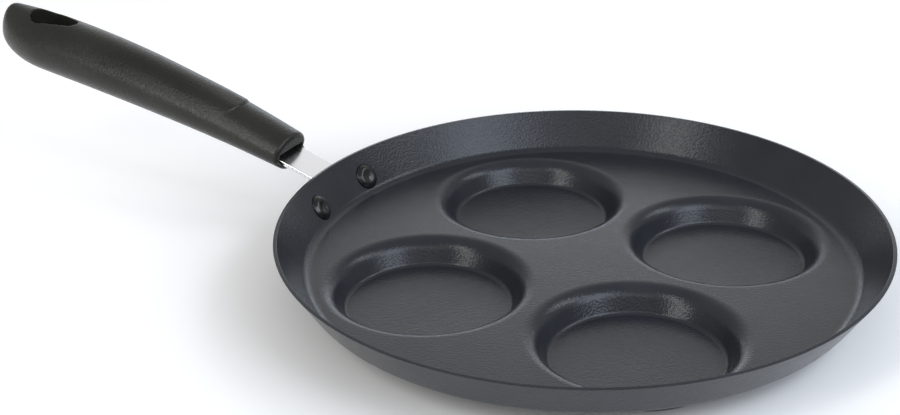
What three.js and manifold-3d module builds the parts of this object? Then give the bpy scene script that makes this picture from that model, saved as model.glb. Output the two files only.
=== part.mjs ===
// Pancake pan: a pressed sheet pan with four round cups in its floor, and a handle on one side.
// A bent steel bracket is riveted to the outside of the wall. Its tang runs into the socket of a
// moulded grip, where one screw from below holds it through a thin square nut.
// Millimetres, +Z up. The origin is the middle of the flat floor, on its top face, and the handle
// points along -X.

import * as THREE from 'three';
import { mergeVertices } from 'three/addons/utils/BufferGeometryUtils.js';
import Module from 'manifold-3d';

const wasm = await Module();
wasm.setup();

// Pan sheet
const sheet = 1.6;
const rimRadius = 130;
const wallHeight = 17;
const wallLean = THREE.MathUtils.degToRad(33);
const wallBendRadius = 5;
const rimTilt = THREE.MathUtils.degToRad(17);

// Cups in the floor
const cupCount = 4;
const cupEdgeMargin = 9.64;
const cupSpacing = 14;
const cupDepth = 10.5;
const cupFlare = 5;
const cupLipRadius = 8;
const cupFootRadius = 2.2;
const leastLipRadius = 0.3;

// Rivets through the wall
const rivetSpacing = 38;
const rivetUpWall = 8;
const rivetShankDiameter = 4;
const rivetHeadDiameter = 12.4;
const rivetHeadHeight = 2.6;
const rivetDimpleDiameter = 6.2;
const rivetDimpleDepth = 0.7;
const rivetTailDiameter = 7;
const rivetTailHeight = 1.4;
const rivetTailChamfer = 0.7;

// Bracket
const strapThickness = 2;
const strapWidth = 18;
const strapBendRadius = 3;
const plateMargin = 8;
const plateCornerRadius = 4;
const plateHalfHeight = 5.2;
const bendAboveRivets = 9.7;
const neckLength = 21.25;
const handleRise = THREE.MathUtils.degToRad(17);
const tangLength = 54;
const tangCornerRadius = 3;

// Grip
const gripLength = 177.5;
const gripArcRadius = 900;
const gripFrontSide = 2.7;
const gripFrontRoof = 6.85;
const gripFrontFloor = 4.35;
const gripPalmWidth = 30;
const gripPalmHeight = 29;
const gripPalmDistance = 138;
const gripFrontEdge = 2;
const gripLipLead = 3;
const gripLipRise = 2.2;
const gripLipRun = 24;
const gripEndTop = 7.4;
const gripEndBottom = 29;
const gripEndSide = 36;
const thumbPadStart = 32;
const thumbPadLength = 30;
const thumbPadWidth = 26;
const thumbPadStep = 1;
const thumbPadEdge = 0.3;
const hangSlotFromEnd = 27.5;
const hangSlotLength = 14.5;
const hangSlotWideRadius = 8;
const hangSlotNarrowRadius = 4.3;

// Screw, washer and nut that hold the grip on the tang
const screwDistance = 32;
const screwDiameter = 4;
const screwHeadDiameter = 7.2;
const screwHeadHeight = 2.4;
const screwHeadChamfer = 0.8;
const crossSlotLength = 4.2;
const crossSlotWidth = 0.9;
const crossSlotDepth = 1.3;
const screwFloor = 2.4;
const washerDiameter = 7.2;
const washerThickness = 0.9;
const washerSlit = 0.8;
const nutWidth = 7;
const nutHeight = 2.2;

// Clearances between pieces
const seatGap = 0.3;
const shankGap = 0.3;
const socketGap = 0.3;
const headGap = 0.7;

// Facets
const panSegments = 72;
const cupSegments = 36;
const arcStep = THREE.MathUtils.degToRad(24);
const gripSegments = 32;
const gripFaceShares = [0.35, 0.7];
const gripFrontRings = 3;
const gripRingSpacing = 9;
const gripEndRings = 9;
const smallSegments = 24;

// Pan: the rim's edge falls outwards, and the floor ends where the inside of the wall meets it
const rimWidth = (sheet * Math.cos(rimTilt)) / Math.cos(wallLean - rimTilt);
const rimInner = rimRadius - rimWidth;
const floorRadius = rimInner - wallHeight * Math.tan(wallLean);
const wallTurn = Math.PI / 2 - wallLean;

// Cups: equal circles in a ring, one margin from the floor's edge and one spacing from each other
const cupField = floorRadius - cupEdgeMargin;
const cupShare = Math.sin(Math.PI / cupCount);
const cupMouthRadius = (cupField * cupShare - cupSpacing / 2) / (1 + cupShare);
const cupCircleRadius = cupField - cupMouthRadius;
const cupFloorRadius = cupMouthRadius - cupFlare;

// Riveted joint: distances out from the inside of the wall
const plateWidth = rivetSpacing + 2 * plateMargin;
const rivetRadius = floorRadius + rivetUpWall * Math.sin(wallLean);
const rivetAzimuth = Math.asin(rivetSpacing / 2 / rivetRadius);
const plateInner = sheet + seatGap;
const plateOuter = plateInner + strapThickness;

// Grip and its fixing: heights from the middle of the tang
const tangTop = strapThickness / 2;
const nutBase = tangTop + seatGap;
const socketTop = nutBase + nutHeight + socketGap;
const socketFloor = -tangTop - socketGap;
const screwSeat = socketFloor - screwFloor;
const washerTop = screwSeat - seatGap;
const headTop = washerTop - washerThickness - seatGap;
const gripFrontWidth = strapWidth + 2 * (socketGap + gripFrontSide);
const gripFrontTop = socketTop + gripFrontRoof;
const gripFrontHeight = gripFrontTop - socketFloor + gripFrontFloor;
const gripAboveTang = gripFrontTop - gripFrontHeight / 2;
const hangSlotDistance = gripLength - hangSlotFromEnd;

// How far a cutting solid runs past the face that it cuts
const cutPast = sheet;

// Solids: the only operations are join and cut

function solidOf(geometry) {
  const bare = geometry.clone();
  bare.deleteAttribute('normal');
  bare.deleteAttribute('uv');
  const merged = mergeVertices(bare, 1e-5);
  const vertProperties = new Float32Array(merged.attributes.position.array);
  const triVerts = new Uint32Array(merged.index.array);
  return new wasm.Manifold(new wasm.Mesh({ numProp: 3, vertProperties, triVerts }));
}

function geometryOf(solid) {
  const mesh = solid.getMesh();
  const geometry = new THREE.BufferGeometry();
  geometry.setAttribute('position', new THREE.BufferAttribute(mesh.vertProperties, 3));
  geometry.setIndex(new THREE.BufferAttribute(mesh.triVerts, 1));
  return geometry;
}

// A lathe about +Z from a profile of [radius, height] that starts and ends on the axis or closes
function turned(profile, segments) {
  const points = profile.map(([radius, height]) => new THREE.Vector2(radius, height));
  const geometry = new THREE.LatheGeometry(points, segments);
  geometry.rotateX(Math.PI / 2);
  return geometry;
}

// Points on an arc, both ends included
function arc(centreX, centreY, radius, from, to) {
  const points = [];
  const steps = Math.ceil(Math.abs(to - from) / arcStep);
  for (let step = 0; step <= steps; step += 1) {
    const angle = from + ((to - from) * step) / steps;
    points.push([centreX + radius * Math.cos(angle), centreY + radius * Math.sin(angle)]);
  }
  return points;
}

function shapeOf(points) {
  return new THREE.Shape(points.map(([x, y]) => new THREE.Vector2(x, y)));
}

function roundedRectangle(low, high, corner) {
  const [x0, y0] = low;
  const [x1, y1] = high;
  const quarter = Math.PI / 2;
  return shapeOf([
    ...arc(x1 - corner, y0 + corner, corner, -quarter, 0),
    ...arc(x1 - corner, y1 - corner, corner, 0, quarter),
    ...arc(x0 + corner, y1 - corner, corner, quarter, 2 * quarter),
    ...arc(x0 + corner, y0 + corner, corner, 2 * quarter, 3 * quarter),
  ]);
}

function extruded(shape, depth) {
  const options = { depth, bevelEnabled: false, curveSegments: smallSegments };
  return new THREE.ExtrudeGeometry(shape, options);
}

// A straight round bar along +Z between two heights
function bar(radius, low, high) {
  const geometry = new THREE.CylinderGeometry(radius, radius, high - low, smallSegments);
  geometry.rotateX(Math.PI / 2);
  geometry.translate(0, 0, (low + high) / 2);
  return geometry;
}

function block(low, high) {
  const size = high.map((value, axis) => value - low[axis]);
  const geometry = new THREE.BoxGeometry(...size);
  geometry.translate(...high.map((value, axis) => (value + low[axis]) / 2));
  return geometry;
}

// The wall in section: distance up the wall from the floor corner, and distance out from its inside
function onWall(upWall, outward) {
  const radius = floorRadius + upWall * Math.sin(wallLean) + outward * Math.cos(wallLean);
  const height = upWall * Math.cos(wallLean) - outward * Math.sin(wallLean);
  return [radius, height];
}

// Where a rivet crosses the inside of the wall: +Z points into the pan, along the rivet. Seen from
// the handle, side 1 is the right and side -1 the left.
function rivetFrame(side) {
  const azimuth = Math.PI + side * rivetAzimuth;
  const [radius, height] = onWall(rivetUpWall, 0);
  const outward = new THREE.Vector3(Math.cos(azimuth), Math.sin(azimuth), 0);
  const position = outward.clone().multiplyScalar(radius).setZ(height);
  const inward = outward.clone().multiplyScalar(-Math.cos(wallLean)).setZ(Math.sin(wallLean));
  const turn = new THREE.Quaternion().setFromUnitVectors(new THREE.Vector3(0, 0, 1), inward);
  return new THREE.Matrix4().compose(position, turn, new THREE.Vector3(1, 1, 1));
}

function rivetHole(side) {
  const hole = bar(rivetShankDiameter / 2 + shankGap, -plateOuter - cutPast, cutPast);
  return solidOf(hole.applyMatrix4(rivetFrame(side)));
}

// Pan body

function dish() {
  const bendCentre = floorRadius - wallBendRadius * Math.tan(wallTurn / 2);
  const foot = -Math.PI / 2;
  return solidOf(turned([
    [0, -sheet],
    ...arc(bendCentre, wallBendRadius, wallBendRadius + sheet, foot, foot + wallTurn),
    [rimRadius, wallHeight - rimWidth * Math.tan(rimTilt)],
    [rimInner, wallHeight],
    ...arc(bendCentre, wallBendRadius, wallBendRadius, foot + wallTurn, foot),
    [0, 0],
  ], panSegments));
}

// One face of a cup, as a lathe profile from its middle up to the floor. The skin is how far the
// face lies from the inside of the cup: nothing for the cavity, the sheet for the outside.
function cupProfile(skin, top) {
  const slope = Math.atan2(cupDepth, cupMouthRadius - cupFloorRadius);
  const spread = Math.tan(slope / 2);
  const footCentre = cupFloorRadius - cupFootRadius * spread;
  const lipCentre = cupMouthRadius + cupLipRadius * spread;
  const lipRadius = Math.max(cupLipRadius - skin, leastLipRadius);
  const quarter = Math.PI / 2;
  const lip = arc(lipCentre, -cupLipRadius, lipRadius, quarter + slope, quarter);
  return [
    [0, -cupDepth - skin],
    ...arc(footCentre, cupFootRadius - cupDepth, cupFootRadius + skin, -quarter, slope - quarter),
    ...lip,
    [lipCentre, top],
    [0, top],
  ];
}

function placedCup(profile, index) {
  const geometry = turned(profile, cupSegments);
  const azimuth = ((index + 0.5) * 2 * Math.PI) / cupCount;
  geometry.translate(cupCircleRadius, 0, 0);
  geometry.rotateZ(azimuth);
  return solidOf(geometry);
}

function panBody() {
  let body = dish();
  for (let index = 0; index < cupCount; index += 1) {
    body = body.add(placedCup(cupProfile(sheet, -sheet / 2), index));
  }
  for (let index = 0; index < cupCount; index += 1) {
    body = body.subtract(placedCup(cupProfile(0, cutPast), index));
  }
  return geometryOf(body.subtract(rivetHole(1)).subtract(rivetHole(-1)));
}

// Rivets

// The radius of a ball of which a cap of this width has this depth
function capRadius(halfWidth, depth) {
  return (halfWidth ** 2 + depth ** 2) / (2 * depth);
}

// A domed head inside the pan, with a dimple in its middle, and a flattened tail behind the plate
function rivet() {
  const headBase = seatGap;
  const tailBase = -plateOuter - seatGap;
  const headRadius = rivetHeadDiameter / 2;
  const tailRadius = rivetTailDiameter / 2;
  const dimpleRadius = rivetDimpleDiameter / 2;
  const dome = capRadius(headRadius, rivetHeadHeight);
  const domeCentre = headBase + rivetHeadHeight - dome;
  const domeEdge = Math.asin((headBase - domeCentre) / dome);
  const crest = Math.acos(dimpleRadius / dome);
  const dimple = capRadius(dimpleRadius, rivetDimpleDepth);
  const dimpleFloor = domeCentre + dome * Math.sin(crest) - rivetDimpleDepth;
  const dimpleEdge = Math.asin(dimpleRadius / dimple) - Math.PI / 2;
  const tailEnd = tailBase - rivetTailHeight;
  return turned([
    [0, tailEnd],
    [tailRadius - rivetTailChamfer, tailEnd],
    [tailRadius, tailEnd + rivetTailChamfer],
    [tailRadius, tailBase],
    [rivetShankDiameter / 2, tailBase],
    [rivetShankDiameter / 2, headBase],
    ...arc(0, domeCentre, dome, domeEdge, crest),
    ...arc(0, dimpleFloor + dimple, dimple, dimpleEdge, -Math.PI / 2).slice(1, -1),
    [0, dimpleFloor],
  ], smallSegments);
}

// Bracket

// The middle of the strap in side view, as [distance from the pan's axis, height], where its two
// straight runs would meet, and where the tang passes the grip's front face
const bendPoint = onWall(rivetUpWall + bendAboveRivets, plateInner + strapThickness / 2);
const gripFront = [
  bendPoint[0] + neckLength * Math.cos(handleRise),
  bendPoint[1] + neckLength * Math.sin(handleRise),
];

function rivetedPlate() {
  const low = rivetUpWall - plateHalfHeight;
  const high = rivetUpWall + plateHalfHeight;
  const ring = turned([
    onWall(low - cutPast, plateInner),
    onWall(low - cutPast, plateOuter),
    onWall(high + cutPast, plateOuter),
    onWall(high + cutPast, plateInner),
    onWall(low - cutPast, plateInner),
  ], panSegments);
  const half = plateWidth / 2;
  const outline = roundedRectangle([-half, low], [half, high], plateCornerRadius);
  const prism = extruded(outline, 2 * plateWidth);
  prism.translate(0, 0, -plateWidth);
  const sideways = new THREE.Vector3(0, -1, 0);
  const upWall = new THREE.Vector3(-Math.sin(wallLean), 0, Math.cos(wallLean));
  const frame = new THREE.Matrix4().makeBasis(sideways, upWall, sideways.clone().cross(upWall));
  const [radius, height] = onWall(0, 0);
  frame.setPosition(-radius, 0, height);
  prism.applyMatrix4(frame);
  return solidOf(ring).intersect(solidOf(prism));
}

// The strap in side view: up the wall, round the bend and out along the tang
function strapOutline() {
  const turn = wallTurn - handleRise;
  const middle = strapBendRadius + strapThickness / 2;
  const setBack = middle * Math.tan(turn / 2);
  const along = [Math.cos(handleRise), Math.sin(handleRise)];
  const centre = [
    bendPoint[0] + setBack * along[0] + middle * along[1],
    bendPoint[1] + setBack * along[1] - middle * along[0],
  ];
  const start = Math.PI / 2 + wallTurn;
  const end = Math.PI / 2 + handleRise;
  const upper = arc(...centre, strapBendRadius + strapThickness, start, end);
  const lower = arc(...centre, strapBendRadius, end, start);
  const length = neckLength + tangLength;
  const far = [bendPoint[0] + length * along[0], bendPoint[1] + length * along[1]];
  const half = strapThickness / 2;
  return shapeOf([
    onWall(rivetUpWall, plateInner),
    ...upper,
    [far[0] - half * along[1], far[1] + half * along[0]],
    [far[0] + half * along[1], far[1] - half * along[0]],
    ...lower,
    onWall(rivetUpWall, plateOuter),
  ]);
}

// A solid in the grip's own frame, moved to where the handle is
function onHandle(geometry) {
  const frame = new THREE.Matrix4().makeRotationFromEuler(handle.rotation);
  frame.setPosition(handle.position);
  return solidOf(geometry.applyMatrix4(frame));
}

function bracket() {
  const strap = extruded(strapOutline(), strapWidth);
  strap.translate(0, 0, -strapWidth / 2);
  strap.applyMatrix4(new THREE.Matrix4().makeBasis(
    new THREE.Vector3(-1, 0, 0),
    new THREE.Vector3(0, 0, 1),
    new THREE.Vector3(0, 1, 0),
  ));
  const half = strapWidth / 2;
  const planLow = [-neckLength - plateWidth, -half];
  const plan = roundedRectangle(planLow, [tangLength, half], tangCornerRadius);
  const planPrism = extruded(plan, 2 * plateWidth);
  planPrism.translate(0, 0, -plateWidth);
  const screwHole = bar(screwDiameter / 2 + shankGap, -strapThickness, strapThickness);
  screwHole.translate(screwDistance, 0, 0);
  return geometryOf(solidOf(strap)
    .intersect(onHandle(planPrism))
    .add(rivetedPlate())
    .subtract(rivetHole(1))
    .subtract(rivetHole(-1))
    .subtract(onHandle(screwHole)));
}

// Grip. Its frame has +X along the tang from the grip's front face, and +Z up from the tang's middle.

function gripSize(distance) {
  const swell = Math.sin((Math.PI / 2) * Math.min(distance / gripPalmDistance, 1));
  const fromEdge = Math.max(gripFrontEdge - distance, 0);
  const inset = gripFrontEdge - Math.sqrt(gripFrontEdge ** 2 - fromEdge ** 2);
  const closing = (length) => {
    const share = Math.max(distance - gripLength + length, 0) / length;
    return Math.sqrt(Math.max(1 - share ** 2, 0));
  };
  const width = gripFrontWidth + (gripPalmWidth - gripFrontWidth) * swell;
  const height = gripFrontHeight + (gripPalmHeight - gripFrontHeight) * swell;
  return {
    halfWidth: (width / 2 - inset) * closing(gripEndSide),
    above: (height / 2 - inset) * closing(gripEndTop),
    below: (height / 2 - inset) * closing(gripEndBottom),
  };
}

// The thumb pad stands proud at its front edge and runs out to nothing at its back
function padHeight(distance, sideways) {
  const along = (distance - thumbPadStart) / thumbPadLength;
  const across = Math.abs(sideways) / (thumbPadWidth / 2);
  if (along < 0 || along > 1 || across > 1) return 0;
  return thumbPadStep * (1 - along) * Math.cos((across * Math.PI) / 2);
}

function gripAxis(distance) {
  const turn = distance / gripArcRadius;
  return {
    point: [gripArcRadius * Math.sin(turn), gripAboveTang - gripArcRadius * (1 - Math.cos(turn))],
    up: [Math.sin(turn), Math.cos(turn)],
  };
}

// The lip below the strap stands ahead of the rest of the front, and the rings behind it follow less
// and less
function lipLead(distance, height) {
  const below = socketFloor + gripLipRise - height;
  const follow = Math.max(1 - distance / gripLipRun, 0);
  return gripLipLead * follow * THREE.MathUtils.smoothstep(below, 0, gripLipRise);
}

// A ring of the grip's skin, or a share of it that lies within its front face
function gripRing(distance, share = 1) {
  const size = gripSize(distance);
  const { point, up } = gripAxis(distance);
  const ring = [];
  for (let index = 0; index < gripSegments; index += 1) {
    const angle = (2 * Math.PI * index) / gripSegments;
    const sideways = share * size.halfWidth * Math.cos(angle);
    const climb = share * Math.sin(angle);
    const pad = climb > 0 ? padHeight(distance, sideways) : 0;
    const rise = climb * (climb > 0 ? size.above : size.below) + pad;
    const height = point[1] + rise * up[1];
    const along = point[0] + rise * up[0] - lipLead(distance, height);
    ring.push(new THREE.Vector3(along, sideways, height));
  }
  return ring;
}

// Distances along the grip at which it has a ring: close together where it turns sharply
function gripStations() {
  const stations = [thumbPadStart - thumbPadEdge, thumbPadStart, thumbPadStart + thumbPadLength];
  const quarter = Math.PI / 2;
  for (let step = 0; step < gripFrontRings; step += 1) {
    stations.push(gripFrontEdge * (1 - Math.cos((quarter * step) / gripFrontRings)));
  }
  const bodyLength = gripLength - gripEndSide - gripFrontEdge;
  const bodyRings = Math.round(bodyLength / gripRingSpacing);
  for (let step = 0; step < bodyRings; step += 1) {
    stations.push(gripFrontEdge + (bodyLength * step) / bodyRings);
  }
  const bodyEnd = gripFrontEdge + bodyLength;
  for (let step = 0; step < gripEndRings; step += 1) {
    stations.push(bodyEnd + gripEndSide * Math.sin((quarter * step) / gripEndRings));
  }
  return stations.sort((a, b) => a - b);
}

// A closed skin over rings of equal count, from a flat patch in the first to a point at the back
function lofted(rings, tip) {
  const count = rings[0].length;
  const front = rings[0].reduce((sum, point) => sum.add(point), new THREE.Vector3());
  const points = [...rings.flat(), front.divideScalar(count), tip];
  const frontIndex = points.length - 2;
  const tipIndex = points.length - 1;
  const lastRing = (rings.length - 1) * count;
  const triangles = [];
  for (let index = 0; index < count; index += 1) {
    const next = (index + 1) % count;
    triangles.push(frontIndex, next, index);
    triangles.push(tipIndex, lastRing + index, lastRing + next);
    for (let ring = 0; ring < rings.length - 1; ring += 1) {
      const low = ring * count;
      const high = low + count;
      triangles.push(low + index, low + next, high + next);
      triangles.push(low + index, high + next, high + index);
    }
  }
  const geometry = new THREE.BufferGeometry().setFromPoints(points);
  geometry.setIndex(triangles);
  return geometry;
}

// A teardrop through the back of the grip: wide towards the back, narrow towards the pan
function hangSlot() {
  const lean = Math.acos((hangSlotWideRadius - hangSlotNarrowRadius) / hangSlotLength);
  const turn = Math.PI - lean;
  const outline = shapeOf([
    ...arc(0, 0, hangSlotWideRadius, -turn, turn),
    ...arc(-hangSlotLength, 0, hangSlotNarrowRadius, turn, 2 * Math.PI - turn),
  ]);
  const slot = extruded(outline, 2 * gripPalmHeight);
  slot.translate(0, 0, -gripPalmHeight);
  slot.rotateY(hangSlotDistance / gripArcRadius);
  const [x, z] = gripAxis(hangSlotDistance).point;
  slot.translate(x, 0, z);
  return solidOf(slot);
}

function grip() {
  const { point } = gripAxis(gripLength);
  const tip = new THREE.Vector3(point[0], 0, point[1]);
  const face = gripFaceShares.map((share) => gripRing(0, share));
  const skin = gripStations().map((distance) => gripRing(distance));
  const body = solidOf(lofted([...face, ...skin], tip));
  const socketHalf = strapWidth / 2 + socketGap;
  const socketEnd = tangLength + socketGap;
  const socketLow = [-gripLipLead - cutPast, -socketHalf, socketFloor];
  const socket = block(socketLow, [socketEnd, socketHalf, socketTop]);
  const shank = bar(screwDiameter / 2 + shankGap, screwSeat - cutPast, socketFloor + cutPast);
  const counterbore = bar(screwHeadDiameter / 2 + headGap, -gripPalmHeight, screwSeat);
  shank.translate(screwDistance, 0, 0);
  counterbore.translate(screwDistance, 0, 0);
  return geometryOf(body
    .subtract(solidOf(socket))
    .subtract(solidOf(shank))
    .subtract(solidOf(counterbore))
    .subtract(hangSlot()));
}

// Fasteners, each in its own frame with +Z up from the middle of the tang

function screw() {
  const shankRadius = screwDiameter / 2;
  const headRadius = screwHeadDiameter / 2;
  const headBase = headTop - screwHeadHeight;
  const body = turned([
    [0, headBase],
    [headRadius - screwHeadChamfer, headBase],
    [headRadius, headBase + screwHeadChamfer],
    [headRadius, headTop],
    [shankRadius, headTop],
    [shankRadius, nutBase + nutHeight],
    [0, nutBase + nutHeight],
  ], smallSegments);
  const length = crossSlotLength / 2;
  const width = crossSlotWidth / 2;
  const low = headBase - cutPast;
  const high = headBase + crossSlotDepth;
  return geometryOf(solidOf(body)
    .subtract(solidOf(block([-length, -width, low], [length, width, high])))
    .subtract(solidOf(block([-width, -length, low], [width, length, high]))));
}

function lockWasher() {
  const bore = screwDiameter / 2 + shankGap;
  const slit = washerSlit / washerDiameter;
  const outline = new THREE.Shape();
  outline.absarc(0, 0, washerDiameter / 2, slit, 2 * Math.PI - slit, false);
  outline.absarc(0, 0, bore, 2 * Math.PI - slit, slit, true);
  const ring = extruded(outline, washerThickness);
  ring.translate(0, 0, washerTop - washerThickness);
  return ring;
}

function squareNut() {
  const half = nutWidth / 2;
  const outline = shapeOf([[-half, -half], [half, -half], [half, half], [-half, half]]);
  const bore = new THREE.Path();
  bore.absarc(0, 0, screwDiameter / 2 + shankGap, 0, 2 * Math.PI, true);
  outline.holes.push(bore);
  const nut = extruded(outline, nutHeight);
  nut.translate(0, 0, nutBase);
  return nut;
}

// Finishes

const coatedSheet = { color: 0x3a3b3e, roughness: 0.55, metalness: 0.2 };
const brightSteel = { color: 0xd8d9dc, roughness: 0.3, metalness: 1 };
const blackRivet = { color: 0x26262a, roughness: 0.3, metalness: 0.3 };
const mouldedPlastic = { color: 0x393a38, roughness: 0.5, metalness: 0 };
const platedSteel = { color: 0xb9bbbf, roughness: 0.35, metalness: 1 };

function piece(name, geometry, finish) {
  const mesh = new THREE.Mesh(geometry, new THREE.MeshStandardMaterial(finish));
  mesh.name = name;
  return mesh;
}

// Assembly

const handle = new THREE.Group();
handle.position.set(-gripFront[0], 0, gripFront[1]);
handle.rotation.set(0, handleRise, Math.PI);

handle.add(piece('handle_grip', grip(), mouldedPlastic));
const fixing = new THREE.Group();
fixing.position.x = screwDistance;
fixing.add(piece('handle_screw', screw(), platedSteel));
fixing.add(piece('lock_washer', lockWasher(), platedSteel));
fixing.add(piece('tang_nut', squareNut(), platedSteel));
handle.add(fixing);

const pan = new THREE.Group();
pan.add(piece('pan_body', panBody(), coatedSheet));
pan.add(piece('handle_bracket', bracket(), brightSteel));
for (const [name, side] of [['rivet_right', 1], ['rivet_left', -1]]) {
  const rivetPiece = piece(name, rivet(), blackRivet);
  rivetPiece.applyMatrix4(rivetFrame(side));
  pan.add(rivetPiece);
}
pan.add(handle);

export default pan;
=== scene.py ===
"""The pancake pan as it looks: smooth pieces in place of its solids, finished and in a white studio."""
import math

import bmesh
import bpy
from mathutils import Matrix, Vector

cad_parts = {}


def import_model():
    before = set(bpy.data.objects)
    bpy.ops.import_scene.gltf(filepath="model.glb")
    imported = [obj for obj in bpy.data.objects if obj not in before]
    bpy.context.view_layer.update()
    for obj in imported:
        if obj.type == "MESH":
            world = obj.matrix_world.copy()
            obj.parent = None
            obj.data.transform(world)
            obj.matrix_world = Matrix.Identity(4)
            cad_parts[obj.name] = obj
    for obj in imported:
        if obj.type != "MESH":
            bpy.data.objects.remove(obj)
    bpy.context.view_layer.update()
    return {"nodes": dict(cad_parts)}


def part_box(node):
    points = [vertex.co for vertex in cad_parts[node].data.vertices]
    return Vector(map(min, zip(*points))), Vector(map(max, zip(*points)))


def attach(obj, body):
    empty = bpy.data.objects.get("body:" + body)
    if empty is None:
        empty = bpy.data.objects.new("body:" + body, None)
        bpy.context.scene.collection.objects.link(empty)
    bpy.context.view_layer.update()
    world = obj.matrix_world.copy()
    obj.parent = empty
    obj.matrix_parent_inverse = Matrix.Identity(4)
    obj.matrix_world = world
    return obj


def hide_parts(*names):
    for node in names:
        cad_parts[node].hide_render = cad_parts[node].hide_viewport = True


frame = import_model()

MM = 0.001
QUARTER = math.pi / 2

# Pan, with the sizes of its solid
pan_low, pan_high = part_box("pan_body")
RIM_RADIUS = pan_high.y
WALL_HEIGHT = pan_high.z
SHEET = 1.6 * MM
WALL_LEAN = math.radians(33)
WALL_BEND = 5 * MM
RIM_TILT = math.radians(17)
RIM_FALL = 0.3 * MM
RIM_INNER_EDGE = 0.3 * MM
RIM_OUTER_EDGE = 0.1 * MM
CUP_COUNT = 4
CUP_EDGE_MARGIN = 9.64 * MM
CUP_SPACING = 14 * MM
CUP_DEPTH = -pan_low.z - SHEET
CUP_FLARE = 5 * MM
CUP_LIP = 8 * MM
CUP_FOOT = 2.2 * MM

# Rivets, with the radii of their shanks, heads, dimples and tails
RIVET_SPACING = 38 * MM
RIVET_UP_WALL = 8 * MM
RIVET_SHANK = 2 * MM
RIVET_HEAD = 6.2 * MM
RIVET_HEAD_HEIGHT = 2.9 * MM
RIVET_DIMPLE = 3.1 * MM
RIVET_DIMPLE_DEPTH = 0.7 * MM
RIVET_CREST = 0.6 * MM
RIVET_TAIL = 3.5 * MM
RIVET_TAIL_HEIGHT = 1.7 * MM
RIVET_TAIL_EDGE = 0.7 * MM

# Bracket
SEAT_GAP = 0.3 * MM
STRAP = 2 * MM
STRAP_WIDTH = 18 * MM
STRAP_BEND = 3 * MM
STRAP_EDGE = 0.35 * MM
PLATE_MARGIN = 8 * MM
PLATE_CORNER = 4 * MM
PLATE_HALF_HEIGHT = 5.2 * MM
PLATE_INNER_CORNER = 1.5 * MM
BEND_ABOVE_RIVETS = 9.7 * MM
NECK = 21.25 * MM
HANDLE_RISE = math.radians(17)
TANG = 54 * MM
TANG_CORNER = 3 * MM

# Grip and its fixing, in the grip's frame: X runs along the tang from the front face, Z up from the tang
GRIP_LENGTH = 177.4 * MM
GRIP_ARC = 900 * MM
GRIP_FRONT_SIDE = 2.7 * MM
GRIP_FRONT_ROOF = 6.85 * MM
GRIP_FRONT_FLOOR = 4.35 * MM
GRIP_PALM_WIDTH = 30 * MM
GRIP_PALM_HEIGHT = 28.8 * MM
GRIP_PALM_DISTANCE = 138 * MM
GRIP_FRONT_EDGE = 2 * MM
GRIP_LIP_LEAD = 3 * MM
GRIP_LIP_RISE = 2.2 * MM
GRIP_LIP_RUN = 24 * MM
GRIP_END_TOP = 7.4 * MM
GRIP_END_BOTTOM = 29 * MM
GRIP_END_SIDE = 36 * MM
PAD_START = 30.8 * MM
PAD_BOW = 6 * MM
PAD_LENGTH = 30 * MM
PAD_HALF_WIDTH = 13 * MM
PAD_STEP = 0.9 * MM
PAD_CREST_SHARE = 0.45
PAD_EDGE = 1 * MM
SLOT_FROM_END = 27.4 * MM
SLOT_LENGTH = 14.5 * MM
SLOT_WIDE = 8 * MM
SLOT_NARROW = 4.3 * MM
SOCKET_GAP = 0.3 * MM
NUT_HEIGHT = 2.2 * MM
SCREW_DISTANCE = 32 * MM
SCREW_RADIUS = 2 * MM
SCREW_HEAD = 3.6 * MM
SCREW_HEAD_HEIGHT = 2.4 * MM
SCREW_HEAD_EDGE = 0.8 * MM
SCREW_FLOOR = 2.4 * MM
CROSS_LENGTH = 4.2 * MM
CROSS_WIDTH = 0.9 * MM
CROSS_DEPTH = 1.3 * MM
HEAD_GAP = 0.7 * MM
WASHER = 0.9 * MM

# Fineness of the surfaces
ARC_STEP = math.radians(6)
EDGE_STEP = math.radians(22.5)
WALL_STEPS = 256
CUP_STEPS = 160
SMALL_STEPS = 64
GRIP_STEPS = 96
GRIP_FACE_RINGS = 12
GRIP_EDGE_RINGS = 8
GRIP_END_RINGS = 40
GRIP_RING = 1.5 * MM
PAD_RING = 0.2 * MM
GRIP_VOXEL = 0.38 * MM
GRIP_SMOOTHING = 0.5
GRIP_SMOOTH_ROUNDS = 3
BLANK_CELL = 1.2 * MM
BEND_PROBE = 0.01 * MM
SHARP_ANGLE = math.radians(35)
FLAT_RING = 0.4 * MM

# Worked out from the sizes above
rim_width = SHEET * math.cos(RIM_TILT) / math.cos(WALL_LEAN - RIM_TILT)
rim_inner = RIM_RADIUS - rim_width
floor_radius = rim_inner - WALL_HEIGHT * math.tan(WALL_LEAN)
wall_turn = QUARTER - WALL_LEAN
cup_field = floor_radius - CUP_EDGE_MARGIN
cup_share = math.sin(math.pi / CUP_COUNT)
cup_mouth = (cup_field * cup_share - CUP_SPACING / 2) / (1 + cup_share)
cup_circle = cup_field - cup_mouth
cup_start = math.pi / CUP_COUNT
cup_slope = math.atan2(CUP_DEPTH, CUP_FLARE)
plate_middle = SHEET + SEAT_GAP + STRAP / 2
plate_outer = SHEET + SEAT_GAP + STRAP
strap_arc = STRAP_BEND + STRAP / 2
strap_turn = wall_turn - HANDLE_RISE
strap_set_back = strap_arc * math.tan(strap_turn / 2)
half_plate = RIVET_SPACING / 2 + PLATE_MARGIN
blank_wall_run = PLATE_HALF_HEIGHT + BEND_ABOVE_RIVETS - strap_set_back
blank_length = blank_wall_run + strap_arc * strap_turn + NECK - strap_set_back + TANG
socket_top = STRAP / 2 + SEAT_GAP + NUT_HEIGHT + SOCKET_GAP
socket_floor = -STRAP / 2 - SOCKET_GAP
screw_seat = socket_floor - SCREW_FLOOR
head_top = screw_seat - SEAT_GAP - WASHER - SEAT_GAP
grip_front_width = STRAP_WIDTH + 2 * (SOCKET_GAP + GRIP_FRONT_SIDE)
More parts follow.
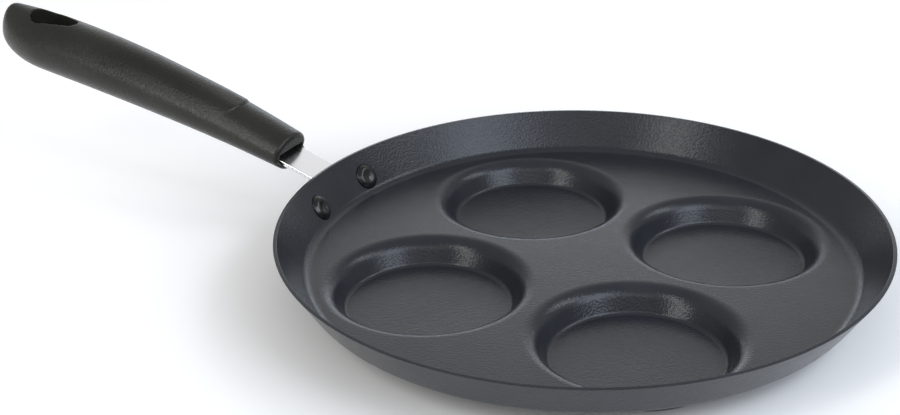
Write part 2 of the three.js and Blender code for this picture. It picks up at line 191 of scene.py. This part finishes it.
grip_front_top = socket_top + GRIP_FRONT_ROOF
grip_front_height = grip_front_top - socket_floor + GRIP_FRONT_FLOOR
grip_above_tang = grip_front_top - grip_front_height / 2


# Shapes

def arc(centre, radius, start, end, finest=ARC_STEP):
    """Points on an arc from one angle to another, both ends included."""
    steps = max(2, math.ceil(abs(end - start) / finest))
    angles = [start + (end - start) * step / steps for step in range(steps + 1)]
    return [centre + radius * Vector((math.cos(angle), math.sin(angle))) for angle in angles]


def rounded(corners):
    """A run of points through corners of (across, up, fillet radius), with each fillet as an arc."""
    points = []
    for index, (across, up, fillet) in enumerate(corners):
        corner = Vector((across, up))
        if not fillet:
            points.append(corner)
            continue
        before = (Vector(corners[index - 1][:2]) - corner).normalized()
        after = (Vector(corners[(index + 1) % len(corners)][:2]) - corner).normalized()
        half = before.angle(after) / 2
        centre = corner + (before + after).normalized() * fillet / math.sin(half)
        spoke = corner + before * fillet / math.tan(half) - centre
        turn = math.copysign(math.pi - 2 * half, after.cross(before))
        start = math.atan2(spoke.y, spoke.x)
        points.extend(arc(centre, fillet, start, start + turn))
    return points


def join_rings(bm, rings):
    """Faces between closed rings of vertices, where a ring may also be a single point."""
    for low, high in zip(rings, rings[1:]):
        for step in range(max(len(low), len(high))):
            places = ((low, step), (low, step + 1), (high, step + 1), (high, step))
            corners = [ring[place % len(ring)] for ring, place in places]
            bm.faces.new(list(dict.fromkeys(corners)))


def lathe(bm, profile, steps, centre=Vector((0, 0, 0))):
    """Rings of a profile of (radius, height) about a vertical axis, joined by faces. Returns the rings."""
    rings = []
    for radius, height in profile:
        angles = [2 * math.pi * step / steps for step in range(steps if radius else 1)]
        spots = [centre + Vector((radius * math.cos(a), radius * math.sin(a), height)) for a in angles]
        rings.append([bm.verts.new(spot) for spot in spots])
    join_rings(bm, rings)
    return rings


def ring_edges(bm, ring):
    """The edges round a ring of vertices."""
    return [bm.edges.get((vert, ring[index - 1])) for index, vert in enumerate(ring)]


def prism(bm, outline, low, high):
    """A closed outline of (x, y) as a solid between two heights."""
    rings = [[bm.verts.new((x, y, height)) for x, y in outline] for height in (low, high)]
    join_rings(bm, rings)
    for ring in rings:
        bm.faces.new(ring)


def object_of(bm, name, matrix=Matrix.Identity(4)):
    """A smooth-shaded object of a bmesh, with its faces turned out and its place in its mesh."""
    bmesh.ops.recalc_face_normals(bm, faces=bm.faces)
    bm.transform(matrix)
    mesh = bpy.data.meshes.new(name)
    bm.to_mesh(mesh)
    bm.free()
    mesh.polygons.foreach_set("use_smooth", [True] * len(mesh.polygons))
    made = bpy.data.objects.new(name, mesh)
    bpy.context.scene.collection.objects.link(made)
    return made


def settle(made):
    """Puts what the modifiers make into the object's own mesh."""
    bpy.context.view_layer.update()
    done = made.evaluated_get(bpy.context.evaluated_depsgraph_get())
    mesh = bpy.data.meshes.new_from_object(done)
    made.modifiers.clear()
    made.data = mesh


def cut(made, cutters):
    """Cuts other objects out of an object, and deletes them."""
    for cutter in cutters:
        boolean = made.modifiers.new("cut", "BOOLEAN")
        boolean.operation = "DIFFERENCE"
        boolean.solver = "EXACT"
        boolean.object = cutter
    settle(made)
    for cutter in cutters:
        bpy.data.objects.remove(cutter)


def dress(made, material, slot, *nodes):
    """Gives a piece its finish, and puts it in place of its solids."""
    made.data.materials.clear()
    made.data.materials.append(material)
    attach(made, "root")
    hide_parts(*nodes)


def on_wall(up, out):
    """Distance from the axis and height of a point up the wall and out from its inside."""
    across = floor_radius + up * math.sin(WALL_LEAN) + out * math.cos(WALL_LEAN)
    return across, up * math.cos(WALL_LEAN) - out * math.sin(WALL_LEAN)


# Pan body: a wall, four cups, and the flat floor between them

def wall_profile():
    """From the floor's top face up the inside, over the rim and down the outside to its underside."""
    inner = floor_radius - WALL_BEND * math.tan(wall_turn / 2) - FLAT_RING
    under = floor_radius + SHEET * math.tan(wall_turn / 2)
    return rounded([
        (inner, 0, 0),
        (floor_radius, 0, WALL_BEND),
        (rim_inner, WALL_HEIGHT, RIM_INNER_EDGE),
        (RIM_RADIUS, WALL_HEIGHT - RIM_FALL, RIM_OUTER_EDGE),
        (under, -SHEET, WALL_BEND + SHEET),
        (inner, -SHEET, 0),
    ])


def cup_profile(skin):
    """From the floor over the lip to the cup's middle, a skin's distance below its inside."""
    shift = skin * math.tan(cup_slope / 2)
    outer = cup_mouth + CUP_LIP * math.tan(cup_slope / 2) + FLAT_RING
    return rounded([
        (outer, -skin, 0),
        (cup_mouth + shift, -skin, CUP_LIP - skin),
        (cup_mouth - CUP_FLARE + shift, -CUP_DEPTH - skin, CUP_FOOT + skin),
        (0, -CUP_DEPTH - skin, 0),
    ])


def pan_body():
    bm = bmesh.new()
    wall = lathe(bm, wall_profile(), WALL_STEPS)
    top_edges = ring_edges(bm, wall[0])
    under_edges = ring_edges(bm, wall[-1])
    for index in range(CUP_COUNT):
        azimuth = cup_start + index * 2 * math.pi / CUP_COUNT
        centre = cup_circle * Vector((math.cos(azimuth), math.sin(azimuth), 0))
        top_edges += ring_edges(bm, lathe(bm, cup_profile(0), CUP_STEPS, centre)[0])
        under_edges += ring_edges(bm, lathe(bm, cup_profile(SHEET), CUP_STEPS, centre)[0])
    bmesh.ops.triangle_fill(bm, use_beauty=True, edges=top_edges)
    bmesh.ops.triangle_fill(bm, use_beauty=True, edges=under_edges)
    return object_of(bm, "pan")


# Rivets: a dimpled dome inside the wall, a shank and a flat tail behind the plate

def cap_radius(half_width, depth):
    """The radius of the sphere that a round cap is cut from."""
    return (half_width ** 2 + depth ** 2) / (2 * depth)


def rivet_profile():
    """From the tail's middle out and up the shank, over the dome and down into its dimple."""
    tail = -plate_outer
    dome = cap_radius(RIVET_HEAD, RIVET_HEAD_HEIGHT)
    dome_centre = Vector((0, RIVET_HEAD_HEIGHT - dome))
    crest = math.acos((RIVET_DIMPLE + RIVET_CREST) / dome)
    dimple = cap_radius(RIVET_DIMPLE, RIVET_DIMPLE_DEPTH)
    dimple_floor = dome_centre.y + dome * math.sin(crest) - RIVET_DIMPLE_DEPTH
    dimple_edge = math.asin((RIVET_DIMPLE - RIVET_CREST) / dimple) - QUARTER
    tail_and_shank = rounded([
        (0, tail - RIVET_TAIL_HEIGHT, 0),
        (RIVET_TAIL, tail - RIVET_TAIL_HEIGHT, RIVET_TAIL_EDGE),
        (RIVET_TAIL, tail, 0),
        (RIVET_SHANK, tail, 0),
        (RIVET_SHANK, 0, 0),
    ])
    return [
        *tail_and_shank,
        *arc(dome_centre, dome, math.asin(-dome_centre.y / dome), crest),
        *arc(Vector((0, dimple_floor + dimple)), dimple, dimple_edge, -QUARTER)[:-1],
        Vector((0, dimple_floor)),
    ]


def rivet(name, side):
    across, height = on_wall(RIVET_UP_WALL, 0)
    azimuth = math.pi + side * math.asin(RIVET_SPACING / 2 / across)
    outward = Vector((math.cos(azimuth), math.sin(azimuth), 0))
    inward = -math.cos(WALL_LEAN) * outward + Vector((0, 0, math.sin(WALL_LEAN)))
    place = Matrix.Translation(across * outward + Vector((0, 0, height)))
    bm = bmesh.new()
    lathe(bm, rivet_profile(), SMALL_STEPS)
    return object_of(bm, name, place @ inward.to_track_quat("Z", "Y").to_matrix().to_4x4())


# Bracket: a flat T-shaped blank, bent and then given its thickness

def bracket_place(across, along):
    """Where a point of the blank lies once it is bent: along runs up the wall, round the bend and out."""
    low = RIVET_UP_WALL - PLATE_HALF_HEIGHT
    bend_up = RIVET_UP_WALL + BEND_ABOVE_RIVETS - strap_set_back
    up = low + min(along, bend_up - low)
    reach, height = on_wall(up, plate_middle)
    plate_top = RIVET_UP_WALL + PLATE_HALF_HEIGHT
    curl = 1 - max(0, up - plate_top) / (bend_up - plate_top)
    reach -= curl * (reach - math.sqrt(reach ** 2 - across ** 2))
    turned = min(max(0, along - bend_up + low) / strap_arc, strap_turn)
    slope = wall_turn - turned
    reach += strap_arc * (math.sin(wall_turn) - math.sin(slope))
    height += strap_arc * (math.cos(slope) - math.cos(wall_turn))
    straight = max(0, along - bend_up + low - strap_arc * strap_turn)
    reach += straight * math.cos(HANDLE_RISE)
    height += straight * math.sin(HANDLE_RISE)
    return Vector((-reach, across, height))


def bracket_normal(across, along):
    """The way out of the bent blank's upper face."""
    sideways = bracket_place(across + BEND_PROBE, along) - bracket_place(across - BEND_PROBE, along)
    onward = bracket_place(across, along + BEND_PROBE) - bracket_place(across, along - BEND_PROBE)
    return sideways.cross(onward).normalized()


def blank_outline(inset):
    """The flat blank's outline of (across, along), drawn in from its edge."""
    half_strap = STRAP_WIDTH / 2 - inset
    plate_top = 2 * PLATE_HALF_HEIGHT - inset
    right_side = [
        (half_plate - inset, inset, PLATE_CORNER - inset),
        (half_plate - inset, plate_top, PLATE_CORNER - inset),
        (half_strap, plate_top, PLATE_INNER_CORNER + inset),
        (half_strap, blank_length - inset, TANG_CORNER - inset),
    ]
    left_side = [(-across, along, fillet) for across, along, fillet in reversed(right_side)]
    return rounded(right_side + left_side)


def bracket():
    upper = arc(Vector((STRAP_EDGE, STRAP / 2 - STRAP_EDGE)), STRAP_EDGE, QUARTER, math.pi, EDGE_STEP)
    lower = [(inset, -height) for inset, height in reversed(upper)]
    bm = bmesh.new()
    rings = []
    for inset, height in upper + lower:
        rings.append([bm.verts.new((*spot, height)) for spot in blank_outline(inset)])
    join_rings(bm, rings)
    bm.faces.new(rings[0])
    bm.faces.new(rings[-1])
    for normal, low, high in (((1, 0, 0), -half_plate, half_plate), ((0, 1, 0), 0, blank_length)):
        cells = math.ceil((high - low) / BLANK_CELL)
        for cell in range(1, cells):
            place = Vector(normal) * (low + (high - low) * cell / cells)
            everything = bm.verts[:] + bm.edges[:] + bm.faces[:]
            bmesh.ops.bisect_plane(bm, geom=everything, plane_co=place, plane_no=normal)
    for vert in bm.verts:
        across, along, height = vert.co
        vert.co = bracket_place(across, along) + height * bracket_normal(across, along)
    made = object_of(bm, "bracket")
    made.modifiers.new("flat_faces", "WEIGHTED_NORMAL")
    return made


# Grip: rings along a gently bent axis, cut for the tang, the screw and the hanging slot

def handle_frame():
    """The grip's frame, as seen from the pan's."""
    reach, height = on_wall(RIVET_UP_WALL + BEND_ABOVE_RIVETS, plate_middle)
    front = Vector((-reach - NECK * math.cos(HANDLE_RISE), 0, height + NECK * math.sin(HANDLE_RISE)))
    turn = Matrix.Rotation(HANDLE_RISE, 4, "Y") @ Matrix.Rotation(math.pi, 4, "Z")
    return Matrix.Translation(front) @ turn


def grip_size(distance):
    """Half width, height above and height below the axis, at a distance from the front face."""
    swell = math.sin(QUARTER * min(distance / GRIP_PALM_DISTANCE, 1))
    from_edge = max(GRIP_FRONT_EDGE - distance, 0)
    inset = GRIP_FRONT_EDGE - math.sqrt(GRIP_FRONT_EDGE ** 2 - from_edge ** 2)
    width = grip_front_width + (GRIP_PALM_WIDTH - grip_front_width) * swell
    height = grip_front_height + (GRIP_PALM_HEIGHT - grip_front_height) * swell

    def closing(length):
        """What is left of a size where it closes in over this length at the back end."""
        share = max(distance - GRIP_LENGTH + length, 0) / length
        return math.sqrt(max(1 - share ** 2, 0))

    return (
        (width / 2 - inset) * closing(GRIP_END_SIDE),
        (height / 2 - inset) * closing(GRIP_END_TOP),
        (height / 2 - inset) * closing(GRIP_END_BOTTOM),
    )


def ease(share):
    """A smooth step from 0 to 1."""
    share = min(max(share, 0), 1)
    return share * share * (3 - 2 * share)


def pad_height(distance, sideways):
    """The thumb pad's height: a step up over a bowed edge, lower at its crest, and a slow run out."""
    across = abs(sideways) / PAD_HALF_WIDTH
    start = PAD_START + PAD_BOW * across ** 2
    along = (distance - start) / PAD_LENGTH
    if along > 1 or across > 1:
        return 0
    ramp = ease((distance - start + PAD_EDGE) / PAD_EDGE)
    flat = PAD_CREST_SHARE + (1 - PAD_CREST_SHARE) * math.sin(math.pi * across) ** 2
    return PAD_STEP * flat * ramp * (1 - max(along, 0)) * (1 - across ** 4)


def grip_axis(distance):
    """A point on the grip's axis, and the way up from it."""
    turn = distance / GRIP_ARC
    point = Vector((GRIP_ARC * math.sin(turn), 0, grip_above_tang - GRIP_ARC * (1 - math.cos(turn))))
    return point, Vector((math.sin(turn), 0, math.cos(turn)))


def grip_stations():
    """Distances of the rings: even along the body, closer at the front edge, the pad and the back end."""
    body_end = GRIP_LENGTH - GRIP_END_SIDE
    steps = math.ceil((body_end - GRIP_FRONT_EDGE) / GRIP_RING)
    edge_turns = [QUARTER * step / GRIP_EDGE_RINGS for step in range(GRIP_EDGE_RINGS)]
    end_turns = [QUARTER * step / GRIP_END_RINGS for step in range(GRIP_END_RINGS)]
    edge = [GRIP_FRONT_EDGE * (1 - math.cos(turn)) for turn in edge_turns]
    body = [GRIP_FRONT_EDGE + (body_end - GRIP_FRONT_EDGE) * step / steps for step in range(steps)]
    back = [body_end + GRIP_END_SIDE * math.sin(turn) for turn in end_turns]
    pad_rings = round((PAD_BOW + PAD_EDGE) / PAD_RING)
    pad = [PAD_START - PAD_EDGE + PAD_RING * step for step in range(pad_rings)]
    return sorted(edge + body + back + pad)


def lip_lead(distance, height):
    """How far the lip below the strap stands ahead of the front. Rings behind follow it less and less."""
    follow = max(1 - distance / GRIP_LIP_RUN, 0)
    return GRIP_LIP_LEAD * follow * ease((socket_floor + GRIP_LIP_RISE - height) / GRIP_LIP_RISE)


def grip_ring(bm, distance, share=1.0):
    """A ring of the grip's skin, or a share of it that lies within its front face."""
    half_width, above, below = grip_size(distance)
    point, up = grip_axis(distance)
    ring = []
    for step in range(GRIP_STEPS):
        angle = 2 * math.pi * step / GRIP_STEPS
        sideways = share * half_width * math.cos(angle)
        climb = share * math.sin(angle)
        rise = climb * above + pad_height(distance, sideways) if climb > 0 else climb * below
        spot = point + rise * up + Vector((0, sideways, 0))
        spot.x -= lip_lead(distance, spot.z)
        ring.append(bm.verts.new(spot))
    return ring


def grip_body(bm):
    middle = [bm.verts.new(grip_axis(0)[0])]
    face = [grip_ring(bm, 0, step / GRIP_FACE_RINGS) for step in range(1, GRIP_FACE_RINGS)]
    skin = [grip_ring(bm, distance) for distance in grip_stations()]
    tip = [bm.verts.new(grip_axis(GRIP_LENGTH)[0])]
    join_rings(bm, [middle, *face, *skin, tip])


def bore(name, radius, low, high):
    bm = bmesh.new()
    lathe(bm, [(0, low), (radius, low), (radius, high), (0, high)], SMALL_STEPS)
    return object_of(bm, name, Matrix.Translation((SCREW_DISTANCE, 0, 0)))


def socket_cutter():
    """Room for the tang and its nut, open past the lip at the front."""
    half = STRAP_WIDTH / 2 + SOCKET_GAP
    start = -GRIP_LIP_LEAD - STRAP
    end = TANG + SOCKET_GAP
    outline = [(start, -half), (end, -half), (end, half), (start, half)]
    bm = bmesh.new()
    prism(bm, outline, socket_floor, socket_top)
    return object_of(bm, "socket")


def slot_cutter():
    """The hanging slot: a wide and a narrow arc, and the lines that touch both."""
    turn = math.pi - math.acos((SLOT_WIDE - SLOT_NARROW) / SLOT_LENGTH)
    outline = arc(Vector((0, 0)), SLOT_WIDE, -turn, turn)
    outline += arc(Vector((-SLOT_LENGTH, 0)), SLOT_NARROW, turn, 2 * math.pi - turn)
    distance = GRIP_LENGTH - SLOT_FROM_END
    lean = Matrix.Rotation(distance / GRIP_ARC, 4, "Y")
    bm = bmesh.new()
    prism(bm, outline, -GRIP_PALM_HEIGHT, GRIP_PALM_HEIGHT)
    return object_of(bm, "slot", Matrix.Translation(grip_axis(distance)[0]) @ lean)


def grip():
    bm = bmesh.new()
    grip_body(bm)
    made = object_of(bm, "grip")
    cut(made, [
        socket_cutter(),
        bore("screw_bore", SCREW_RADIUS + SEAT_GAP, screw_seat - SEAT_GAP, 0),
        bore("head_bore", SCREW_HEAD + HEAD_GAP, -GRIP_PALM_HEIGHT, screw_seat),
        slot_cutter(),
    ])
    skin = made.modifiers.new("skin", "REMESH")
    skin.mode = "VOXEL"
    skin.voxel_size = GRIP_VOXEL
    skin.use_smooth_shade = True
    smooth = made.modifiers.new("smooth", "SMOOTH")
    smooth.factor = GRIP_SMOOTHING
    smooth.iterations = GRIP_SMOOTH_ROUNDS
    settle(made)
    made.data.transform(handle_frame())
    return made


# Screw with a cross recess, in the grip's frame

def screw():
    base = head_top - SCREW_HEAD_HEIGHT
    top = STRAP / 2 + SEAT_GAP + NUT_HEIGHT
    bm = bmesh.new()
    lathe(bm, rounded([
        (0, base, 0),
        (SCREW_HEAD, base, SCREW_HEAD_EDGE),
        (SCREW_HEAD, head_top, 0),
        (SCREW_RADIUS, head_top, 0),
        (SCREW_RADIUS, top, 0),
        (0, top, 0),
    ]), SMALL_STEPS)
    made = object_of(bm, "screw")
    half_length = CROSS_LENGTH / 2
    half_width = CROSS_WIDTH / 2
    arms = []
    for x, y in ((half_length, half_width), (half_width, half_length)):
        bm = bmesh.new()
        prism(bm, [(-x, -y), (x, -y), (x, y), (-x, y)], base - CROSS_DEPTH, base + CROSS_DEPTH)
        arms.append(object_of(bm, "arm"))
    cut(made, arms)
    made.data.transform(handle_frame() @ Matrix.Translation((SCREW_DISTANCE, 0, 0)))
    made.data.set_sharp_from_angle(angle=SHARP_ANGLE)
    return made


# Finishes

# Most of a noise's values lie in this part of its range
NOISE_SPAN = (0.3, 0.7)


class Finish:
    """A material whose colour, roughness and bump come from nodes in the object's own coordinates."""

    def __init__(self, name):
        self.material = bpy.data.materials.new(name)
        self.material.use_nodes = True
        self.nodes = self.material.node_tree.nodes
        self.links = self.material.node_tree.links
        self.shader = self.nodes["Principled BSDF"]
        self.place = self.nodes.new("ShaderNodeTexCoord").outputs["Object"]

    def set(self, **values):
        for socket, value in values.items():
            self.shader.inputs[socket.replace("_", " ")].default_value = value

    def stretched(self, scale):
        """The object's coordinates, stretched to give a grain."""
        mapping = self.nodes.new("ShaderNodeMapping")
        mapping.inputs["Scale"].default_value = scale
        self.links.new(self.place, mapping.inputs["Vector"])
        return mapping.outputs["Vector"]

    def noise(self, size, detail, place=None):
        """Noise whose lumps are about this size, in metres."""
        node = self.nodes.new("ShaderNodeTexNoise")
        node.inputs["Scale"].default_value = 1 / size
        node.inputs["Detail"].default_value = detail
        self.links.new(place or self.place, node.inputs["Vector"])
        return node.outputs["Fac"]

    def ramp(self, source, low, high):
        """A source turned into a range of colours or grey values."""
        node = self.nodes.new("ShaderNodeValToRGB")
        for stop, value, place in zip(node.color_ramp.elements, (low, high), NOISE_SPAN):
            stop.position = place
            stop.color = (*value, 1) if isinstance(value, tuple) else (value, value, value, 1)
        self.links.new(source, node.inputs["Fac"])
        return node.outputs["Color"]

    def drive(self, socket, source):
        self.links.new(source, self.shader.inputs[socket])

    def bump(self, source, height):
        """Lays another height, in metres, over the bumps so far."""
        node = self.nodes.new("ShaderNodeBump")
        node.inputs["Distance"].default_value = height
        self.links.new(source, node.inputs["Height"])
        normal = self.shader.inputs["Normal"]
        if normal.links:
            self.links.new(normal.links[0].from_socket, node.inputs["Normal"])
        self.links.new(node.outputs["Normal"], normal)


def coat_finish():
    """Charcoal non-stick coat: a soft shine, with a fine orange peel and faint clouds."""
    finish = Finish("nonstick_coat")
    finish.set(Specular_IOR_Level=0.31)
    clouds = finish.noise(size=22 * MM, detail=4)
    blotches = finish.noise(size=3 * MM, detail=3)
    peel = finish.noise(size=1 * MM, detail=2)
    grain = finish.noise(size=0.4 * MM, detail=2)
    finish.drive("Base Color", finish.ramp(clouds, low=(0.018, 0.020, 0.025), high=(0.024, 0.026, 0.032)))
    finish.drive("Roughness", finish.ramp(blotches, low=0.2, high=0.26))
    finish.bump(peel, height=0.125 * MM)
    finish.bump(grain, height=0.02 * MM)
    return finish.material


def grip_finish():
    """Dark moulded plastic with a fine eroded grain."""
    finish = Finish("grip_plastic")
    finish.set(Specular_IOR_Level=0.28)
    clouds = finish.noise(size=30 * MM, detail=3)
    blotches = finish.noise(size=4 * MM, detail=3)
    grain = finish.noise(size=1 * MM, detail=3)
    finish.drive("Base Color", finish.ramp(clouds, low=(0.015, 0.015, 0.0128), high=(0.022, 0.022, 0.0185)))
    finish.drive("Roughness", finish.ramp(blotches, low=0.25, high=0.33))
    finish.bump(grain, height=0.2 * MM)
    return finish.material


def steel_finish():
    """Bright strip steel, brushed along its length."""
    finish = Finish("bracket_steel")
    finish.set(Metallic=1.0)
    lengthwise = finish.stretched(scale=(0.04, 1, 0.1))
    grain = finish.noise(size=0.25 * MM, detail=3, place=lengthwise)
    finish.drive("Base Color", finish.ramp(grain, low=(0.84, 0.84, 0.86), high=(0.9, 0.9, 0.92)))
    finish.drive("Roughness", finish.ramp(grain, low=0.16, high=0.26))
    finish.bump(grain, height=0.008 * MM)
    return finish.material


def rivet_finish():
    """Black coated rivet with a soft shine."""
    finish = Finish("rivet_black")
    clouds = finish.noise(size=2.5 * MM, detail=3)
    blotches = finish.noise(size=1.2 * MM, detail=3)
    grain = finish.noise(size=0.5 * MM, detail=2)
    finish.drive("Base Color", finish.ramp(clouds, low=(0.004, 0.004, 0.0045), high=(0.008, 0.008, 0.009)))
    finish.drive("Roughness", finish.ramp(blotches, low=0.17, high=0.28))
    finish.bump(grain, height=0.02 * MM)
    return finish.material


def plated_finish():
    """Zinc-plated steel with faint clouds and a fine grain."""
    finish = Finish("plated_steel")
    finish.set(Metallic=1.0)
    clouds = finish.noise(size=1.5 * MM, detail=4)
    blotches = finish.noise(size=0.6 * MM, detail=3)
    grain = finish.noise(size=0.3 * MM, detail=2)
    finish.drive("Base Color", finish.ramp(clouds, low=(0.55, 0.56, 0.58), high=(0.66, 0.67, 0.69)))
    finish.drive("Roughness", finish.ramp(blotches, low=0.28, high=0.42))
    finish.bump(grain, height=0.01 * MM)
    return finish.material


# Studio

WHITE = (1, 1, 1, 1)

# Floor, in metres: it glows where the camera or gloss sees it, and more so further from the pan's middle,
# so that the shadow under the pan stays
STAND = pan_low.z
FLOOR_SIZE = 40.0
FLOOR_COLOUR = (0.9, 0.9, 0.9, 1)
FLOOR_GLOW = 0.3
GLOW_START = 0.08
GLOW_FULL = 0.28

# The room's light, the same from all sides
AMBIENT = 0.45

# Backdrop as gloss shows it: azimuth from the camera's side and elevation, how far round it is white
# and where it ends, all in degrees. Outside it the room is as light as AMBIENT
BACKDROP = (180, 24)
BACKDROP_WHITE = 5
BACKDROP_END = 33

# Lamps: azimuth from the camera's side and elevation, in degrees, then distance and size in metres,
# watts and colour
LAMPS = {
    "horizon": (180, 10, 1.5, (1.8, 0.2), 1.2, (0.8, 0.88, 1.0)),
    "back_box": (181, 15, 1.5, (0.5, 0.2), 0.5, (0.7, 0.84, 1.0)),
    "right_box": (52, 38, 0.9, (0.5, 0.56), 4.1, (0.77, 0.86, 1.0)),
    "right_side": (102, 44, 1.5, (0.8, 0.35), 4, (0.88, 0.93, 1.0)),
    "left_box": (-46, 37, 1.5, (0.3, 1.0), 5.4, (1.0, 0.99, 0.97)),
    "left_low": (-52, 12, 1.5, (0.4, 0.26), 3.6, (1.0, 0.98, 0.95)),
    "front_fill": (5, 40, 1.5, (1.0, 0.5), 2, (0.97, 0.98, 1.0)),
}

# Camera: its sensor in millimetres, its focal length in the photo's pixels, where it stands and what its
# axis meets on the pan's floor
SENSOR_WIDTH = 36
PHOTO_WIDTH = 900
FOCAL_PIXELS = 1523.9
CAMERA_PLACE = Vector((0.2452, -0.5282, 0.3038))
CAMERA_AIM = Vector((-0.0753, 0.0197, 0.0))
CAMERA_ROLL = math.radians(-1.4)


def math_node(nodes, links, operation, *values):
    """The result of a sum on sockets and plain numbers."""
    node = nodes.new("ShaderNodeMath")
    node.operation = operation
    for socket, value in zip(node.inputs, values):
        if isinstance(value, (int, float)):
            socket.default_value = value
        else:
            links.new(value, socket)
    return node.outputs[0]


def from_camera(azimuth, elevation):
    """The way to a place in the studio: azimuth from the camera's side and elevation, in degrees."""
    turn = math.atan2(CAMERA_PLACE.y, CAMERA_PLACE.x) + math.radians(azimuth)
    rise = math.radians(elevation)
    return Vector((math.cos(rise) * math.cos(turn), math.cos(rise) * math.sin(turn), math.sin(rise)))


def floor():
    """A white floor that keeps the pan's shadow."""
    bm = bmesh.new()
    half = FLOOR_SIZE / 2
    corners = ((-half, -half), (half, -half), (half, half), (-half, half))
    bm.faces.new([bm.verts.new((x, y, STAND)) for x, y in corners])
    made = object_of(bm, "floor")
    material = bpy.data.materials.new("white_floor")
    material.use_nodes = True
    nodes = material.node_tree.nodes
    links = material.node_tree.links
    shader = nodes["Principled BSDF"]
    shader.inputs["Base Color"].default_value = FLOOR_COLOUR
    shader.inputs["Roughness"].default_value = 1.0
    shader.inputs["Specular IOR Level"].default_value = 0.0
    shader.inputs["Emission Color"].default_value = WHITE
    path = nodes.new("ShaderNodeLightPath").outputs
    shown = math_node(nodes, links, "MAXIMUM", path["Is Glossy Ray"], path["Is Transmission Ray"])
    seen = math_node(nodes, links, "MAXIMUM", path["Is Camera Ray"], shown)
    away = nodes.new("ShaderNodeVectorMath")
    away.operation = "LENGTH"
    links.new(nodes.new("ShaderNodeTexCoord").outputs["Object"], away.inputs[0])
    glow = nodes.new("ShaderNodeMapRange")
    glow.interpolation_type = "SMOOTHSTEP"
    glow.inputs["From Min"].default_value = GLOW_START
    glow.inputs["From Max"].default_value = GLOW_FULL
    glow.inputs["To Max"].default_value = FLOOR_GLOW
    links.new(away.outputs["Value"], glow.inputs["Value"])
    strength = math_node(nodes, links, "MULTIPLY", seen, glow.outputs[0])
    links.new(strength, shader.inputs["Emission Strength"])
    made.data.materials.append(material)


def world():
    """White for the camera, a white backdrop in a dimmer room for gloss, and room light for the rest."""
    made = bpy.data.worlds.new("studio")
    made.use_nodes = True
    bpy.context.scene.world = made
    nodes = made.node_tree.nodes
    links = made.node_tree.links
    toward = nodes.new("ShaderNodeVectorMath")
    toward.operation = "DOT_PRODUCT"
    toward.inputs[1].default_value = from_camera(*BACKDROP)
    links.new(nodes.new("ShaderNodeTexCoord").outputs["Generated"], toward.inputs[0])
    backdrop = nodes.new("ShaderNodeMapRange")
    backdrop.interpolation_type = "SMOOTHSTEP"
    backdrop.inputs["From Min"].default_value = math.cos(math.radians(BACKDROP_END))
    backdrop.inputs["From Max"].default_value = math.cos(math.radians(BACKDROP_WHITE))
    backdrop.inputs["To Min"].default_value = AMBIENT
    links.new(toward.outputs["Value"], backdrop.inputs["Value"])
    path = nodes.new("ShaderNodeLightPath").outputs
    shown = math_node(nodes, links, "MAXIMUM", path["Is Glossy Ray"], path["Is Transmission Ray"])
    reflected = math_node(nodes, links, "MULTIPLY", shown, backdrop.outputs[0])
    seen = math_node(nodes, links, "MAXIMUM", path["Is Camera Ray"], reflected)
    background = nodes["Background"]
    background.inputs["Color"].default_value = WHITE
    strength = math_node(nodes, links, "MAXIMUM", seen, AMBIENT)
    links.new(strength, background.inputs["Strength"])


def lamps():
    for name, (azimuth, elevation, distance, size, power, colour) in LAMPS.items():
        aim = from_camera(azimuth, elevation)
        light = bpy.data.lights.new(name, "AREA")
        light.shape = "RECTANGLE"
        light.size, light.size_y = size
        light.energy = power
        light.color = colour
        lamp = bpy.data.objects.new(name, light)
        lamp.location = distance * aim
        lamp.rotation_euler = aim.to_track_quat("Z", "Y").to_euler()
        bpy.context.scene.collection.objects.link(lamp)


def camera():
    lens = bpy.data.cameras.new("camera")
    lens.sensor_width = SENSOR_WIDTH
    lens.lens = SENSOR_WIDTH * FOCAL_PIXELS / PHOTO_WIDTH
    made = bpy.data.objects.new("camera", lens)
    aim = (CAMERA_AIM - CAMERA_PLACE).to_track_quat("-Z", "Y").to_matrix().to_4x4()
    made.matrix_world = Matrix.Translation(CAMERA_PLACE) @ aim @ Matrix.Rotation(CAMERA_ROLL, 4, "Z")
    bpy.context.scene.collection.objects.link(made)
    bpy.context.scene.camera = made


# Assembly

coat = coat_finish()
black = rivet_finish()
plated = plated_finish()
dress(pan_body(), coat, "nonstick_coat", "pan_body")
dress(rivet("rivet_right_head", 1), black, "rivet_black", "rivet_right")
dress(rivet("rivet_left_head", -1), black, "rivet_black", "rivet_left")
dress(bracket(), steel_finish(), "bracket_steel", "handle_bracket")
dress(grip(), grip_finish(), "grip_plastic", "handle_grip")
dress(screw(), plated, "plated_steel", "handle_screw")
for kept in ("lock_washer", "tang_nut"):
    node = frame["nodes"][kept]
    node.data.materials.clear()
    node.data.materials.append(plated)

floor()
world()
lamps()
camera()
bpy.context.scene.view_settings.view_transform = "Standard"
